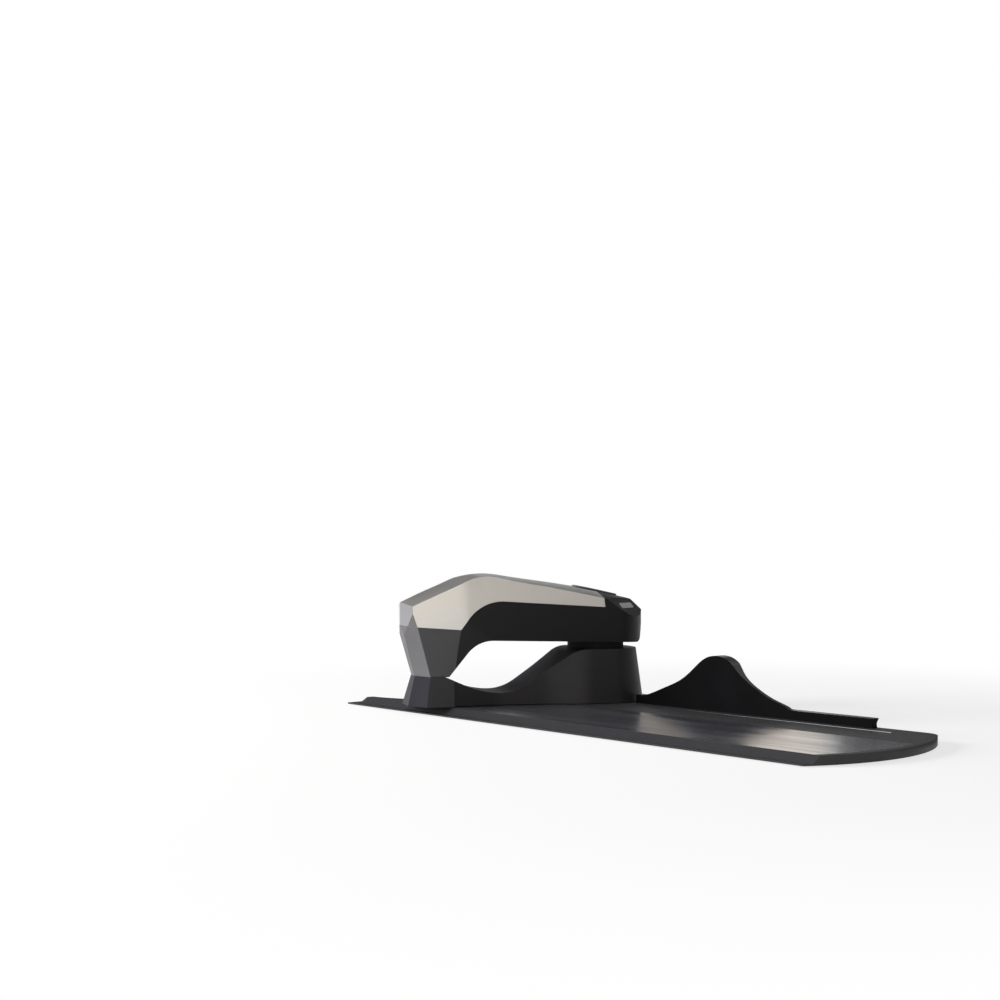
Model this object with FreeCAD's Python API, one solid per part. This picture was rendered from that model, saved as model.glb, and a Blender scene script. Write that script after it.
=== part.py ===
import FreeCAD, Part
import math
import os

# Print-reading colorimeter: an arched hand reader that stands on its calibration dock,
# and the dock stands on the flat guide plate along which the reader is slid.
# X runs along the reader from its nose to its rear, Y away from the near side, Z up.
# Lengths are in millimetres. Reader and dock heights count from the top of the guide plate.

Vector = FreeCAD.Vector

# Guide plate, in its own frame: x along the straightedge, y away from it, z up
guide_length = 381.0
guide_width = 125.0
guide_height = 5.5
guide_skin = 2.0
guide_wall = 2.5
end_radius = 116.0
end_middle = 58.0
end_corner = 12.0
tongue_width = 12.0
hollow_end = (71.0, 47.0)
far_edge_start = 85.0
lip_width = 4.5
lip_height = 1.5
lip_slope = 3.5
tip_lip = 7.7
base_sheet_height = 1.0
base_sheet_gap = 0.2
strip_height = 0.6
strip_width = 8.0
near_strip = (40.0, 350.0, 14.0)
far_strip = (120.0, 350.0, 104.0)
panel_depth = 0.8
panel_start = 58.0
panel_near = 9.0
panel_far = 80.5
panel_rim = 4.0
panel_gap = 0.1
groove = (110.0, 358.0, 109.5)
groove_width = 1.2
groove_depth = 0.5
pocket_start = 40.0
pocket_far = 112.0
rib_places = [100.0, 160.0, 220.0, 280.0, 340.0]
long_rib_place = 58.0
rib_thickness = 1.4

# Heights that reader and dock share: the nose stands on the cup's rim, the rear foot on the column,
# and the other heights of the reader count from the handle's underside
cup_rim = 19.0
dock_top = 35.0
foot_height = 4.0
nose_bottom_height = cup_rim
underside_height = dock_top + foot_height

# Nose ring, which drops into the dock's bore, and the reference tile under it
bore_centre = -11.6
ring_radius = 6.2
ring_drop = 2.4
ring_lip = 1.2
ring_rim = 0.9
ring_rim_height = 1.0
ring_gap = 0.05
aperture_radius = 3.6
window_radius = ring_radius - 1.3
window_thickness = 1.0
bore_radius = ring_radius + 0.7
holder_radius = bore_radius + 1.5
holder_wall = 2.0
holder_floor = 1.5
tile_radius = bore_radius + 0.6
tile_gap = 0.1
tile_thickness = 2.5
tile_pad_thickness = 1.0
tile_top = cup_rim - 3.6

# Reader outline
reader_half_width = 24.0
reader_front = -30.5
reader_rear = 131.4
rear_lean = 4.6
nose_narrowing = 6.5
nose_narrow_place = -60.0
nose_full_place = 6.0
side_curve_radius = 60.0
rear_plan_radius = 20.0
nose_bottom_front = bore_centre - 1.15 * holder_radius - 0.64
nose_bottom_rear = bore_centre + holder_radius + 0.6
seam_height = underside_height + 11.9
rear_corner_height = underside_height + 20.0
bevel_start = reader_rear - 9.4
bevel_top_height = rear_corner_height + 9.5
arch_corner = (15.2, underside_height + 3.0)
arch_radius = 20.0
under_rear_radius = 4.0
rear_edge_radius = 1.2
nose_heel_radius = 1.0
shell_wall = 2.0
seam_front = (-80.0, seam_height + 4.0)
seam_rear = (4.3, seam_height - 2.1)
nose_back = [(2.4, underside_height - 5.0), (-3.5, -20.0)]
cover_arch = (17.7, underside_height + 28.5, 27.0)
cover_rear = (reader_rear - 31.0, underside_height + 23.3)
cover_rear_top = (reader_rear - 32.2, underside_height + 33.0)
tongue_length_rim = 3.0
tongue_width_rim = 2.2
# The top seen from the side: its middle line and its two outer edges, as X and height over the underside
ridge_line = [(-60.0, 17.0), (-28.8, 28.6), (3.0, 40.2), (18.0, 44.6), (27.5, 45.0),
              (38.0, 43.6), (63.0, 40.0), (reader_rear - 41.4, 35.7), (reader_rear - 13.4, 29.7),
              (reader_rear + 28.6, 20.1)]
edge_line = [(-60.0, 10.8), (-28.8, 24.3), (-3.0, 35.6), (11.8, 42.0), (23.0, 43.2),
             (37.0, 40.6), (60.0, 36.5), (reader_rear - 49.4, 32.2), (reader_rear - 13.4, 25.0),
             (reader_rear + 28.6, 16.6)]
# Facets on the +Y side, each as a point on it and its outward direction: the chamfer of the nose,
# the blunt front, the slope above the front and the rear corner
nose_chamfer = ((nose_bottom_front + 7.7, reader_half_width - 5.0, nose_bottom_height - 0.6),
                (-1.0, 0.5, -0.32))
front_facet = ((-26.5, reader_half_width - 3.2, underside_height), (-1.0, 0.183, 0.0))
brow_facet = ((-26.5, reader_half_width - 3.2, underside_height + 25.0), (-0.466, 0.177, 1.0))
rear_facet = ((bevel_start, reader_half_width - 15.0, bevel_top_height - 1.0), (0.705, 0.956, 1.0))
flank_front = reader_half_width - 3.5
flank_rear = (24.0, underside_height + 2.7)
flank_foot = (nose_bottom_front + 7.9, reader_half_width - 5.4)
foot_radius = 18.5
foot_centre = reader_rear - 29.4

# Dock outline
dock_rear = reader_rear - 3.4
dock_rear_radius = 21.0
dock_wall = 2.2
dock_clear = 0.4
dock_draft = 3.0
dock_rear_spread = 1.9
dock_foot_radius = 4.5
waist = [(-8.0, 17.0, 0.0), (30.0, 13.8, 60.0), (64.0, 16.6, 50.0),
         (foot_centre - 16.0, reader_half_width, 40.0)]
sweep = [(foot_centre - 19.5, dock_top, 20.0), (42.0, 7.6, 32.0), (20.0, 8.2, 60.0),
         (bore_centre + holder_radius - 1.8, cup_rim, 4.0)]
# Corners of the cup's outline on the +Y side, at the guide and at the rim
cup_foot = [(nose_bottom_front - 5.1, 8.5), (nose_bottom_front + 3.9, reader_half_width - 1.4),
            (0.0, reader_half_width - 0.2)]
cup_top = [(nose_bottom_front, 5.4), (nose_bottom_front + 7.2, reader_half_width - 5.0),
           (0.0, reader_half_width - 3.2)]
plate_bottom = 1.0
plate_top = 2.6
plate_gap = 0.15
dock_head_height = 0.9
dock_screw_reach = 7.0
dock_screws = [(-9.0, 14.0), (-9.0, -14.0), (foot_centre - 18.0, 16.0), (foot_centre - 18.0, -16.0)]
dock_feet = [(4.0, 9.5), (4.0, -9.5), (101.0, 14.0), (101.0, -14.0)]
pad_radius = foot_radius + 0.2
pad_thickness = 1.2
pad_gap = 0.1

# Measure button on the handle
button_centre = reader_rear - 30.4
button_length = 29.0
button_width = 15.0
button_corner = 4.0
button_height = underside_height + 33.4
button_slope = 9.2
button_proud = 1.0
button_gap = 0.3
button_travel = 1.0
button_depth = 5.0
flange_proud = 1.2
stem_radius = 2.0
stem_length = 16.0

# Inside the reader
board_thickness = 1.6
board_bottom = underside_height + 9.0
board_top = board_bottom + board_thickness
board_front = 17.0
board_rear = reader_rear - 19.4
board_half_width = reader_half_width - shell_wall - 4.5
board_front_radius = 3.0
board_rear_radius = 8.0
board_hole_gap = 0.25
board_tongue_half = 7.0
board_tongue_end = 4.5
post_radius = 3.6
screw_radius = 1.25
screw_head_radius = 2.4
screw_head_height = 1.8
screw_sink = 0.4
screw_gap = 0.15
screw_reach = 10.4
cross_length = 3.2
cross_width = 0.7
cross_depth = 0.8
cover_screws = [(34.0, 13.0), (34.0, -13.0), (68.0, 13.0), (68.0, -13.0)]
socket_length = 7.5
socket_inset = 2.6
socket_width = 7.6
socket_height = 2.8
socket_wall = 0.4
socket_gap = 0.15
socket_tongue_gap = 1.2
socket_tongue_half = 0.3
lens_radius = 3.6
lens_seat = 2.0
lens_thickness = 2.5
led_board_bottom = underside_height + 3.0
led_board_radius = 12.0
led_count = 7
led_ring_radius = 6.0
led_radius = 1.4
led_height = 3.0
sensor_half = 2.2
sensor_height = 1.3
spigot_gap = 0.1
barrel_radius = ring_radius + 0.8
barrel_wall = 1.5
barrel_neck = 8.0
barrel_floor = 1.0
bowl_depth = 6.0
head_radius = led_board_radius - 1.5
chips = [
    (46.0, 56.0, -5.0, 5.0, 1.4),
    (74.0, 81.0, -3.5, 3.5, 1.2),
    (84.0, 88.0, 6.0, 12.0, 2.0),
    (22.0, 26.0, -6.0, 6.0, 3.0),
    (113.5, 115.5, -1.5, 1.5, 1.0),
]
switch_half = 3.0
switch_height = 4.0
plunger_radius = 1.6
plunger_gap = 0.3
status_length = 14.0
status_width = 4.2
status_corner = 1.2
status_rim = 0.6
status_rim_thickness = 1.0
status_centre = (bevel_start - 4.4, reader_half_width - 7.1)

# The dock stands across the guide at this turn; the guide's place lies under the near side of the dock
guide_turn = -65.0
guide_under_dock = (103.0, 9.5)
# Middle of the dock's rounded near rear corner, turned into the guide's directions
dock_corner = Vector(dock_rear + dock_rear_spread - dock_rear_radius, dock_rear_radius, 0)
corner_on_guide = FreeCAD.Rotation(Vector(0, 0, 1), -guide_turn).multVec(dock_corner)

# Rail and its hand fin on the far side of the guide
rail_near = guide_width - 7.0
rail_gap = 2.0
rail_start = corner_on_guide.x + guide_under_dock[0] + dock_rear_radius + dock_draft + rail_gap
rail_end = guide_length - 43.0
rail_low = 5.4
rail_screw_line = 2.4
fin_peak = rail_start + 70.0
fin_height = 34.2
fin_thickness = 3.0
crest_overhang = 5.0
crest_start = 20.0
crest_end = 30.0
crest_inner_radius = 16.0
crest_outer_radius = 3.0
# Distance from the peak along the rail, and share of the rise from the rail to the peak
fin_curve = [(-66.0, 0.0), (-57.0, 0.06), (-45.0, 0.22), (-32.0, 0.41), (-23.0, 0.62), (-16.0, 0.82),
             (-9.5, 0.955), (-2.0, 1.0), (4.5, 0.965), (9.5, 0.87), (14.0, 0.73), (20.0, 0.56),
             (29.5, 0.36), (42.5, 0.16), (52.0, 0.055), (63.0, 0.0)]
# Section of the low rail: distance from its near side, height
rail_section = [(0.0, 0.0), (4.8, 0.0), (4.4, rail_low / 2), (6.4, rail_low), (0.0, rail_low)]
rail_screw_places = [rail_start + 16.0, rail_start + 52.0, rail_start + 88.0, rail_start + 134.0,
                     rail_end - 10.0]
rail_screw_radius = 1.05
rail_head_radius = 2.0
rail_head_height = 1.6
rail_screw_reach = 4.0
rail_hole_depth = 0.2

# Reach of the blocks that cut, longer than the whole object
far_away = 400.0


def box(x0, x1, y0, y1, z0, z1):
    return Part.makeBox(x1 - x0, y1 - y0, z1 - z0, Vector(x0, y0, z0))


def cylinder(radius, x, y, z0, z1):
    return Part.makeCylinder(radius, z1 - z0, Vector(x, y, z0))


def fuse(solids):
    result = solids[0]
    for solid in solids[1:]:
        result = result.fuse(solid)
    return result.removeSplitter()


def mirrored(solid):
    return solid.mirror(Vector(0, 0, 0), Vector(0, 1, 0))


def inset_corners(corners, inset):
    # Each side of the closed outline moves inwards; the corners follow and keep their rounding
    count = len(corners)
    area = sum(corners[i][0] * corners[(i + 1) % count][1] - corners[(i + 1) % count][0] * corners[i][1]
               for i in range(count))
    turn = 1.0 if area > 0 else -1.0
    result = []
    for i in range(count):
        before, here, after = corners[i - 1], corners[i], corners[(i + 1) % count]
        ax, ay = here[0] - before[0], here[1] - before[1]
        bx, by = after[0] - here[0], after[1] - here[1]
        la, lb = math.hypot(ax, ay), math.hypot(bx, by)
        ax, ay, bx, by = ax / la, ay / la, bx / lb, by / lb
        cross = ax * by - ay * bx
        scale = inset * turn / (1.0 + ax * bx + ay * by)
        x = here[0] + scale * (-ay - by)
        y = here[1] + scale * (ax + bx)
        radius = here[2]
        if radius > 0:
            radius = max(radius - inset * turn * (1.0 if cross > 0 else -1.0), 0.2)
        result.append((x, y, radius))
    return result


def corner_tangents(corners):
    # How far each rounding reaches along its sides, shortened where two would overlap
    count = len(corners)
    points = [Vector(x, y, 0) for x, y, radius in corners]
    tangents = []
    for i in range(count):
        half = points[i - 1].sub(points[i]).getAngle(points[(i + 1) % count].sub(points[i])) / 2.0
        tangents.append(max(corners[i][2], 0.0) / math.tan(half))
    for i in range(count):
        following = (i + 1) % count
        side = points[i].distanceToPoint(points[following])
        share = side / max(tangents[i] + tangents[following], side)
        tangents[i] *= share
        tangents[following] *= share
    return tangents


def rounded_wire(corners, place):
    # corners are (x, y, rounding radius); place turns a flat point into a point in space
    edges = []
    ends = []
    count = len(corners)
    tangents = corner_tangents(corners)
    for i in range(count):
        here = Vector(corners[i][0], corners[i][1], 0)
        to_before = Vector(corners[i - 1][0], corners[i - 1][1], 0).sub(here)
        to_after = Vector(corners[(i + 1) % count][0], corners[(i + 1) % count][1], 0).sub(here)
        to_before.normalize()
        to_after.normalize()
        tangent = tangents[i]
        if tangent <= 0:
            ends.append((here, None, here))
            continue
        half = to_before.getAngle(to_after) / 2.0
        bisector = to_before.add(to_after).normalize()
        radius = tangent * math.tan(half)
        middle = here.add(bisector.multiply(radius / math.sin(half) - radius))
        ends.append((here.add(to_before.multiply(tangent)), middle, here.add(to_after.multiply(tangent))))
    for i in range(count):
        start, middle, finish = ends[i]
        following = ends[(i + 1) % count][0]
        if middle is not None:
            edges.append(Part.Arc(place(start), place(middle), place(finish)).toShape())
        if finish.distanceToPoint(following) > 1e-4:
            edges.append(Part.LineSegment(place(finish), place(following)).toShape())
    return Part.Wire(edges)


def side_prism(corners):
    # An outline in the X-Z plane, made solid a long way to both sides
    wire = rounded_wire(corners, lambda p: Vector(p.x, -far_away, p.y))
    return Part.Face(wire).extrude(Vector(0, 2 * far_away, 0))


def plan_prism(corners, z0, z1):
    wire = rounded_wire(corners, lambda p: Vector(p.x, p.y, z0))
    return Part.Face(wire).extrude(Vector(0, 0, z1 - z0))


def tapered_prism(low_corners, z0, high_corners, z1):
    low = rounded_wire(low_corners, lambda p: Vector(p.x, p.y, z0))
    high = rounded_wire(high_corners, lambda p: Vector(p.x, p.y, z1))
    return Part.makeLoft([low, high], True, True)


def beyond_plane(point, normal):
    # The block that lies on the outer side of a plane
    block = Part.makeBox(2 * far_away, 2 * far_away, far_away, Vector(-far_away, -far_away, 0))
    block.Placement = FreeCAD.Placement(point, FreeCAD.Rotation(Vector(0, 0, 1), normal))
    return block


def symmetric(right_side):
    # Closed plan outline from the corners of its +Y side, listed from front to rear
    left_side = [(x, -y, r) for x, y, r in right_side]
    return left_side + right_side[::-1]


# Reader body, shared by its three shells

def reader_side(inset):
    corners = [
        (reader_front, seam_height, 0.0),
        (nose_bottom_front, nose_bottom_height, 0.0),
        (nose_bottom_rear, nose_bottom_height, nose_heel_radius),
        (arch_corner[0], arch_corner[1], arch_radius),
        (reader_rear - rear_lean, underside_height, under_rear_radius),
        (reader_rear, rear_corner_height, rear_edge_radius),
        (bevel_start, bevel_top_height, 0.0),
        (bevel_start, far_away, 0.0),
        (reader_front, far_away, 0.0),
    ]
    return side_prism(inset_corners(corners, inset))


def reader_plan(inset):
    right_side = [
        (nose_narrow_place, reader_half_width - nose_narrowing, 0.0),
        (nose_full_place, reader_half_width, side_curve_radius),
        (reader_rear, reader_half_width, rear_plan_radius),
    ]
    return plan_prism(inset_corners(symmetric(right_side), inset), -far_away, far_away)


def flat_face(points):
    return Part.Face(Part.makePolygon(points + [points[0]]))


def top_lines(lift):
    reach = reader_half_width + 1.0
    lines = ((edge_line, -reach), (ridge_line, 0.0), (edge_line, reach))
    base = underside_height + lift
    return [[Vector(x, y, base + z) for x, z in points] for points, y in lines]


def above_top(lift):
    # Everything above the crowned top: a ridge on the middle line and a lower edge on each side
    wires = []
    for points in top_lines(lift):
        curve = Part.BSplineCurve()
        curve.interpolate(points)
        wires.append(Part.Wire([curve.toShape()]))
    surface = Part.makeLoft(wires, False, False)
    return surface.Faces[0].extrude(Vector(0, 0, far_away))


def above_ceiling(lift):
    # The same for the hollow inside, whose ceiling is made of flat triangles
    near, middle, far = top_lines(lift)
    faces = []
    for outer in (near, far):
        for i in range(len(middle) - 1):
            faces.append(flat_face([outer[i], outer[i + 1], middle[i]]))
            faces.append(flat_face([middle[i], outer[i + 1], middle[i + 1]]))
    return fuse([face.extrude(Vector(0, 0, far_away)) for face in faces])


def flank_facet():
    # The tapered flank of the nose hangs from the seam and ends at the nose's foot
    hinge_front = Vector(reader_front, flank_front, seam_height)
    hinge_rear = Vector(flank_rear[0], reader_half_width, flank_rear[1])
    foot = Vector(flank_foot[0], flank_foot[1], nose_bottom_height)
    normal = hinge_rear.sub(hinge_front).cross(foot.sub(hinge_front))
    if normal.y < 0:
        normal = normal.multiply(-1)
    return hinge_front, normal


def facet_blocks(inset):
    facets = (nose_chamfer, front_facet, brow_facet, rear_facet)
    pairs = [(Vector(*point), Vector(*normal)) for point, normal in facets]
    pairs.append(flank_facet())
    blocks = []
    for point, normal in pairs:
        normal.normalize()
        shifted = point.sub(Vector(normal).multiply(inset))
        block = beyond_plane(shifted, normal)
        blocks.append(block)
        blocks.append(mirrored(block))
    return blocks


def reader_form(inset):
    solid = reader_side(inset).common(reader_plan(inset))
    solid = solid.cut(above_ceiling(-inset) if inset > 0 else above_top(0.0))
    for block in facet_blocks(inset):
        solid = solid.cut(block)
    return solid


def nose_region():
    corners = [seam_front, seam_rear] + nose_back + [(seam_front[0], nose_back[1][1])]
    return side_prism([(x, z, 0.0) for x, z in corners])


def cover_region():
    corners = [
        seam_front + (0.0,),
        seam_rear + (0.0,),
        cover_arch,
        cover_rear + (0.0,),
        cover_rear_top + (0.0,),
        (cover_rear_top[0], far_away, 0.0),
        (seam_front[0], far_away, 0.0),
    ]
    region = side_prism(corners)
    half_width = button_width / 2 + tongue_width_rim
    start = button_centre - button_length / 2 - tongue_length_rim
    return region.cut(box(start, far_away, -half_width, half_width, cover_rear[1] - shell_wall, far_away))


# Measure button: it slides along the normal of the sloping top

def along_button(solid):
    # Lays a solid modelled upright about the origin onto the sloping top at the button
    turned = solid.copy()
    turn = FreeCAD.Rotation(Vector(0, 1, 0), button_slope)
    turned.Placement = FreeCAD.Placement(Vector(button_centre, 0, button_height), turn)
    return turned


def button_prism(grow, z0, z1):
    half_length = button_length / 2 + grow
    half_width = button_width / 2 + grow
    radius = button_corner + grow
    corners = [(-half_length, -half_width, radius), (half_length, -half_width, radius),
               (half_length, half_width, radius), (-half_length, half_width, radius)]
    return along_button(plan_prism(corners, z0, z1))


def measure_button():
    low, high = -button_depth, button_depth
    cap = button_prism(0.0, low, high).cut(above_top(button_proud))
    flange = button_prism(flange_proud, low, high).cut(above_ceiling(-shell_wall - button_gap))
    stem = along_button(cylinder(stem_radius, 0, 0, -stem_length, low + 1.0))
    return fuse([cap, flange, stem])


# Shells of the reader

def underside_at(x):
    rear_x = reader_rear - rear_lean
    share = (x - arch_corner[0]) / (rear_x - arch_corner[0])
    return arch_corner[1] + share * (underside_height - arch_corner[1])


def housing_screw_holes():
    holes = []
    for x, y in cover_screws:
        head_top = underside_at(x) + screw_sink + screw_head_height
        holes.append(cylinder(screw_head_radius + screw_gap, x, y, 0.0, head_top))
        holes.append(cylinder(screw_radius + screw_gap, x, y, 0.0, board_bottom))
        holes.append(cylinder(screw_radius, x, y, board_bottom, board_top + screw_reach))
    return holes


def window_block(grow, depth0, depth1):
    # A small slab in the rear corner facet: grow widens it, the depths count from the facet inwards
    point, outward = Vector(*rear_facet[0]), Vector(*rear_facet[1]).normalize()
    along = Vector(outward.y, -outward.x, 0).normalize()
    upward = outward.cross(along)
    centre = Vector(status_centre[0], status_centre[1], 0)
    centre.z = point.z - ((centre.x - point.x) * outward.x + (centre.y - point.y) * outward.y) / outward.z
    half_length, half_width = status_length / 2 + grow, status_width / 2 + grow
    radius = status_corner + grow
    corners = [(-half_length, -half_width, radius), (half_length, -half_width, radius),
               (half_length, half_width, radius), (-half_length, half_width, radius)]
    block = plan_prism(corners, -depth1, -depth0)
    block.Placement = FreeCAD.Placement(centre, FreeCAD.Rotation(along, upward, outward, "ZXY"))
    return block


def socket_block(grow, x0, x1):
    half = socket_width / 2 + grow
    return box(x0, x1, -half, half, board_top - grow, board_top + socket_height + grow)


def reader_shells():
    outer = reader_form(0.0)
    cavity = reader_form(shell_wall)
    nose_zone = nose_region()
    cover_zone = cover_region()
    shell = outer.cut(cavity).cut(button_prism(button_gap, -stem_length, stem_length))
    nose = shell.common(nose_zone)
    cover = shell.common(cover_zone)
    handle = shell.cut(nose_zone).cut(cover_zone)
    for x, y in cover_screws:
        low_post = cylinder(post_radius, x, y, 0.0, board_bottom).common(outer)
        high_post = cylinder(post_radius, x, y, board_top, far_away).common(outer)
        handle = handle.fuse(low_post)
        cover = cover.fuse(high_post)
    for hole in housing_screw_holes():
        handle = handle.cut(hole)
        cover = cover.cut(hole)
    opening = window_block(0.0, -shell_wall, 2 * shell_wall)
    handle = handle.cut(opening).cut(mirrored(opening))
    handle = handle.cut(socket_block(socket_gap, reader_rear - socket_length, reader_rear + 1.0))
    nose = nose.cut(cylinder(ring_radius + ring_gap, bore_centre, 0, 0.0, seam_height - led_board_radius))
    return {"top_cover": cover, "nose_shell": nose, "handle_shell": handle}


# Optics in the nose

def nose_tip_ring():
    low = nose_bottom_height - ring_drop
    floor = nose_bottom_height + shell_wall
    ring = cylinder(ring_radius, bore_centre, 0, low, floor)
    rim_top = floor + ring_rim_height
    flange = cylinder(ring_radius + ring_rim, bore_centre, 0, floor, rim_top)
    seat = cylinder(window_radius, bore_centre, 0, low + ring_lip, rim_top)
    aperture = cylinder(aperture_radius, bore_centre, 0, low, floor)
    return fuse([ring, flange]).cut(seat).cut(aperture)


def window_top():
    return nose_bottom_height - ring_drop + ring_lip + window_thickness


def aperture_window():
    return cylinder(window_radius, bore_centre, 0, window_top() - window_thickness, window_top())


def barrel_profile(radii_and_heights):
    wire = Part.makePolygon([Vector(r, 0, z) for r, z in radii_and_heights])
    solid = Part.Face(wire).revolve(Vector(0, 0, 0), Vector(0, 0, 1), 360)
    solid.translate(Vector(bore_centre, 0, 0))
    return solid


def optics_barrel():
    floor = nose_bottom_height + shell_wall + ring_rim_height
    spigot = window_radius - spigot_gap
    bowl_low = led_board_bottom - bowl_depth
    bore = head_radius - barrel_wall
    neck_top = floor + barrel_neck
    outline = [(lens_radius, window_top()), (spigot, window_top()), (spigot, floor), (barrel_radius, floor),
               (barrel_radius, neck_top), (head_radius, bowl_low), (head_radius, led_board_bottom),
               (bore, led_board_bottom), (bore, bowl_low + barrel_floor / 2),
               (lens_radius, neck_top - barrel_floor), (lens_radius, window_top())]
    return barrel_profile(outline)


def focusing_lens():
    low = window_top() + lens_seat
    return cylinder(lens_radius, bore_centre, 0, low, low + lens_thickness)


def led_board():
    return cylinder(led_board_radius, bore_centre, 0, led_board_bottom, led_board_bottom + board_thickness)


def measuring_leds():
    leds = []
    for i in range(led_count):
        angle = 2 * math.pi * i / led_count
        x = bore_centre + led_ring_radius * math.cos(angle)
        y = led_ring_radius * math.sin(angle)
        leds.append(cylinder(led_radius, x, y, led_board_bottom - led_height, led_board_bottom))
    return Part.makeCompound(leds)


def light_sensor():
    return box(bore_centre - sensor_half, bore_centre + sensor_half, -sensor_half, sensor_half,
               led_board_bottom - sensor_height, led_board_bottom)


# Electronics in the handle

def main_board():
    half = board_half_width
    corners = [(board_front, -half, board_front_radius), (board_rear, -half, board_rear_radius),
               (board_rear, half, board_rear_radius), (board_front, half, board_front_radius)]
    board = plan_prism(corners, board_bottom, board_top)
    tongue_end = reader_rear - shell_wall - board_tongue_end
    tongue = box(board_rear - board_front_radius, tongue_end, -board_tongue_half, board_tongue_half,
                 board_bottom, board_top)
    board = board.fuse(tongue).removeSplitter()
    for x, y in cover_screws:
        board = board.cut(cylinder(screw_radius + board_hole_gap, x, y, board_bottom, board_top))
    return board


def board_chips():
    return Part.makeCompound([box(x0, x1, y0, y1, board_top, board_top + height)
                              for x0, x1, y0, y1, height in chips])


def usb_socket():
    rear = reader_rear - socket_inset
    front = rear - socket_length
    shell = socket_block(0.0, front, rear)
    half = socket_width / 2 - socket_wall
    roof = board_top + socket_height - socket_wall
    mouth = box(front + 1.0, rear, -half, half, board_top + socket_wall, roof)
    middle = board_top + socket_height / 2
    tongue_half = half - socket_tongue_gap
    tongue = box(front, rear - 1.0, -tongue_half, tongue_half, middle - socket_tongue_half,
                 middle + socket_tongue_half)
    return fuse([shell.cut(mouth), tongue])


def button_switch():
    # The plunger ends just under the stem of the fully pressed button
    slope = math.radians(button_slope)
    reach = stem_length + button_travel
    x = button_centre - reach * math.sin(slope)
    tip = button_height - reach * math.cos(slope) - stem_radius * math.sin(slope) - plunger_gap
    top = board_top + switch_height
    body = box(x - switch_half, x + switch_half, -switch_half, switch_half, board_top, top)
    return fuse([body, cylinder(plunger_radius, x, 0, top, tip)])


def status_lens():
    window = window_block(0.0, 0.0, shell_wall)
    flange = window_block(status_rim, shell_wall, shell_wall + status_rim_thickness)
    light_guide = fuse([window, flange])
    return Part.makeCompound([light_guide, mirrored(light_guide)])


def rear_foot():
    foot = cylinder(foot_radius, foot_centre, 0, dock_top, board_bottom)
    return foot.cut(reader_side(0.0))


def housing_screws():
    screws = []
    for x, y in cover_screws:
        head_low = underside_at(x) + screw_sink
        head = cylinder(screw_head_radius, x, y, head_low, head_low + screw_head_height)
        shank = cylinder(screw_radius, x, y, head_low + screw_head_height, board_top + screw_reach - 1.0)
        screw = fuse([head, shank])
        for half_x, half_y in ((cross_width / 2, cross_length / 2), (cross_length / 2, cross_width / 2)):
            slot = box(x - half_x, x + half_x, y - half_y, y + half_y, head_low, head_low + cross_depth)
            screw = screw.cut(slot)
        screws.append(screw)
    return Part.makeCompound(screws)


# Calibration dock

def dock_side(inset, bottom):
    corners = [
        (-far_away, bottom, 0.0),
        (far_away, bottom, 0.0),
        (far_away, dock_top, 0.0),
    ] + sweep + [(-far_away, cup_rim, 0.0)]
    return side_prism(inset_corners(corners, inset))


def cup_block(inset):
    low = symmetric([(x, y, 0.0) for x, y in cup_foot])
    high = symmetric([(x, y, 0.0) for x, y in cup_top])
    return tapered_prism(inset_corners(low, inset), 0.0, inset_corners(high, inset), cup_rim)


def spine_block(inset):
    high_side = waist + [(dock_rear, reader_half_width, dock_rear_radius)]
    low_side = waist + [(dock_rear + dock_rear_spread, reader_half_width, dock_rear_radius)]
    high = inset_corners(symmetric(high_side), inset)
    low = inset_corners(symmetric(low_side), inset - dock_draft)
    return tapered_prism(low, 0.0, high, dock_top)


def dock_form(inset, bottom):
    blocks = cup_block(inset).fuse(spine_block(inset))
    return blocks.common(dock_side(inset, bottom))


def dock_shell():
    shell = dock_form(0.0, dock_clear).cut(dock_form(dock_wall, -far_away))
    solid_dock = dock_form(dock_wall / 4, -far_away)
    tube = cylinder(holder_radius, bore_centre, 0, tile_top, cup_rim - dock_wall / 4)
    shell = shell.fuse(tube)
    for x, y in dock_screws:
        post = cylinder(post_radius, x, y, plate_top, dock_top).common(solid_dock)
        hole = cylinder(screw_radius, x, y, 0.0, plate_top + dock_screw_reach + 1.0)
        shell = shell.fuse(post).cut(hole)
    pad_seat = cylinder(pad_radius + pad_gap, foot_centre, 0, dock_top - pad_thickness, dock_top)
    bore = cylinder(bore_radius, bore_centre, 0, tile_top, cup_rim)
    return shell.cut(pad_seat).cut(bore)


def seat_pad():
    return cylinder(pad_radius, foot_centre, 0, dock_top - pad_thickness, dock_top)


def dock_base_plate():
    slab = box(-far_away, far_away, -far_away, far_away, plate_bottom, plate_top)
    plate = dock_form(dock_wall + plate_gap, -far_away).common(slab)
    for x, y in dock_screws:
        plate = plate.cut(cylinder(screw_radius + board_hole_gap, x, y, plate_bottom, plate_top))
        head_top = plate_bottom + dock_head_height
        plate = plate.cut(cylinder(screw_head_radius + screw_gap, x, y, plate_bottom, head_top))
    return plate


def dock_screw_set():
    screws = []
    for x, y in dock_screws:
        head = cylinder(screw_head_radius, x, y, plate_bottom, plate_bottom + dock_head_height)
        shank = cylinder(screw_radius, x, y, plate_bottom + dock_head_height, plate_top + dock_screw_reach)
        screws.append(fuse([head, shank]))
    return Part.makeCompound(screws)


def dock_foot_set():
    return Part.makeCompound([cylinder(dock_foot_radius, x, y, 0.0, plate_bottom) for x, y in dock_feet])


def tile_holder():
    holder = cylinder(holder_radius, bore_centre, 0, plate_top, tile_top)
    floor = tile_top - tile_thickness - tile_pad_thickness
    recess = cylinder(tile_radius + tile_gap, bore_centre, 0, floor, tile_top)
    core = cylinder(holder_radius - holder_wall, bore_centre, 0, plate_top, floor - holder_floor)
    return holder.cut(recess).cut(core)


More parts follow.
